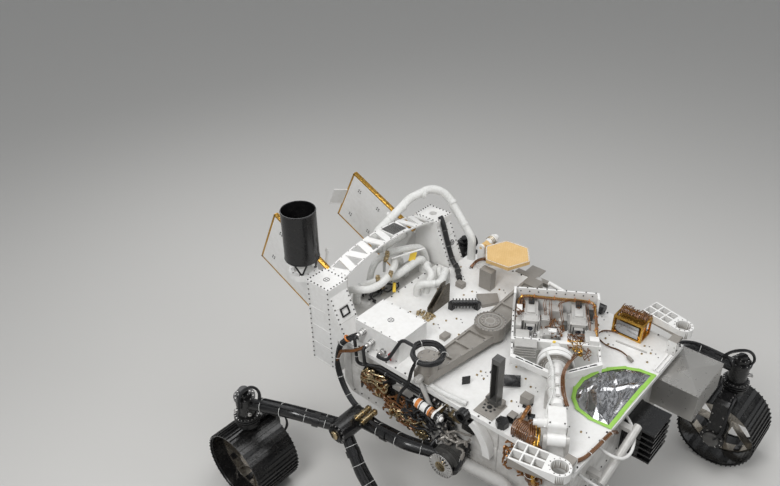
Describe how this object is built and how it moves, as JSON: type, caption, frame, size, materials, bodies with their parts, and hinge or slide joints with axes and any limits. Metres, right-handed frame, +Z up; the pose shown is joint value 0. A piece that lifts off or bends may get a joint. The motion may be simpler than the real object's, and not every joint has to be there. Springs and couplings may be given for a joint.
{
  "type": "mars rover ground twin",
  "caption": "Planetary rover on cleated wheels with rocker-bogie arms, a white deck with a folded camera mast, a tilting flat antenna, rear towers and exchanger plates.",
  "frame": {"origin": "on the floor under the middle of the length and width", "axes": "+X forward, +Y to port, +Z up"},
  "size_m": [3.213, 2.84, 1.875],
  "materials": {
    "bare_grey": "satin",
    "black_anodised": "satin",
    "black_jacket": "matt",
    "brass_tone": "satin",
    "dark_grey": "satin",
    "foil": "crinkled",
    "spring_metal": "machined",
    "tan_face": "satin",
    "white_paint": "semi-gloss",
    "wrap": "taped wrap"
  },
  "bodies": {
    "chassis": {"antenna_base": "white_paint", "antenna_can": "black_anodised", "antenna_can_stand": "black_anodised", "body_box": "white_paint", "bogie_left": "black_anodised", "bogie_right": "black_anodised", "cable_coil": "black_jacket", "cables": "black_jacket", "crease_box": "bare_grey", "deck": "white_paint", "deck_box": "white_paint", "deck_units": "dark_grey", "differential_beam": "bare_grey", "differential_links": "bare_grey", "exchanger_plate_left": "white_paint", "exchanger_plate_right": "white_paint", "fluid_pipes": "wrap", "foil_cover": "foil", "front_brackets": "white_paint", "front_harness": "brass_tone", "front_rack": "black_anodised", "gold_unit": "brass_tone", "hose_loop": "wrap", "mast_mount": "bare_grey", "mast_rest": "white_paint", "middle_drives": "black_anodised", "plate_stays": "white_paint", "rear_towers": "white_paint", "rear_tray": "white_paint", "rear_truss": "white_paint", "rocker_left": "black_anodised", "rocker_right": "black_anodised", "side_panels": "bare_grey", "side_units": "brass_tone", "steering_drives": "black_anodised", "twin_cylinders": "brass_tone"},
    "steering_front_left": {"knuckle_front_left": "black_anodised"},
    "wheel_front_left": {"wheel_barrel_front_left": "black_anodised", "wheel_centre_front_left": "spring_metal"},
    "steering_front_right": {"knuckle_front_right": "black_anodised"},
    "wheel_front_right": {"wheel_barrel_front_right": "black_anodised", "wheel_centre_front_right": "spring_metal"},
    "steering_rear_left": {"knuckle_rear_left": "black_anodised"},
    "wheel_rear_left": {"wheel_barrel_rear_left": "black_anodised", "wheel_centre_rear_left": "spring_metal"},
    "steering_rear_right": {"knuckle_rear_right": "black_anodised"},
    "wheel_rear_right": {"wheel_barrel_rear_right": "black_anodised", "wheel_centre_rear_right": "spring_metal"},
    "wheel_middle_left": {"wheel_barrel_middle_left": "black_anodised", "wheel_centre_middle_left": "spring_metal"},
    "wheel_middle_right": {"wheel_barrel_middle_right": "black_anodised", "wheel_centre_middle_right": "spring_metal"},
    "mast": {"mast_cameras": "dark_grey", "mast_head": "white_paint", "mast_tube": "white_paint"},
    "antenna": {"antenna_dish": "tan_face"}
  },
  "joints": [
    {"name": "steer_front_left", "type": "hinge", "parent": "chassis", "child": "steering_front_left", "pos_m": [1.3435, 1.176, 0.603], "axis": [0, 0, 1], "range_deg": [-90, 90]},
    {"name": "roll_front_left", "type": "hinge", "parent": "steering_front_left", "child": "wheel_front_left", "pos_m": [1.3435, 1.176, 0.263], "axis": [0, 1, 0], "continuous": true},
    {"name": "steer_front_right", "type": "hinge", "parent": "chassis", "child": "steering_front_right", "pos_m": [1.3435, -1.176, 0.603], "axis": [0, 0, 1], "range_deg": [-90, 90]},
    {"name": "roll_front_right", "type": "hinge", "parent": "steering_front_right", "child": "wheel_front_right", "pos_m": [1.3435, -1.176, 0.263], "axis": [0, 1, 0], "continuous": true},
    {"name": "steer_rear_left", "type": "hinge", "parent": "chassis", "child": "steering_rear_left", "pos_m": [-0.9365, 1.176, 0.603], "axis": [0, 0, 1], "range_deg": [-90, 90]},
    {"name": "roll_rear_left", "type": "hinge", "parent": "steering_rear_left", "child": "wheel_rear_left", "pos_m": [-0.9365, 1.176, 0.263], "axis": [0, 1, 0], "continuous": true},
    {"name": "steer_rear_right", "type": "hinge", "parent": "chassis", "child": "steering_rear_right", "pos_m": [-0.9365, -1.176, 0.603], "axis": [0, 0, 1], "range_deg": [-90, 90]},
    {"name": "roll_rear_right", "type": "hinge", "parent": "steering_rear_right", "child": "wheel_rear_right", "pos_m": [-0.9365, -1.176, 0.263], "axis": [0, 1, 0], "continuous": true},
    {"name": "roll_middle_left", "type": "hinge", "parent": "chassis", "child": "wheel_middle_left", "pos_m": [0.2035, 1.25, 0.263], "axis": [0, 1, 0], "continuous": true},
    {"name": "roll_middle_right", "type": "hinge", "parent": "chassis", "child": "wheel_middle_right", "pos_m": [0.2035, -1.25, 0.263], "axis": [0, 1, 0], "continuous": true},
    {"name": "mast_raise", "type": "hinge", "parent": "chassis", "child": "mast", "pos_m": [0.9305, -0.554, 1.2], "axis": [0.8486, 0.5291, 0], "range_deg": [0, 90]},
    {"name": "antenna_tilt", "type": "hinge", "parent": "chassis", "child": "antenna", "pos_m": [-0.3965, 0.66, 1.262], "axis": [0, -1, 0], "range_deg": [0, 90]}
  ]
}
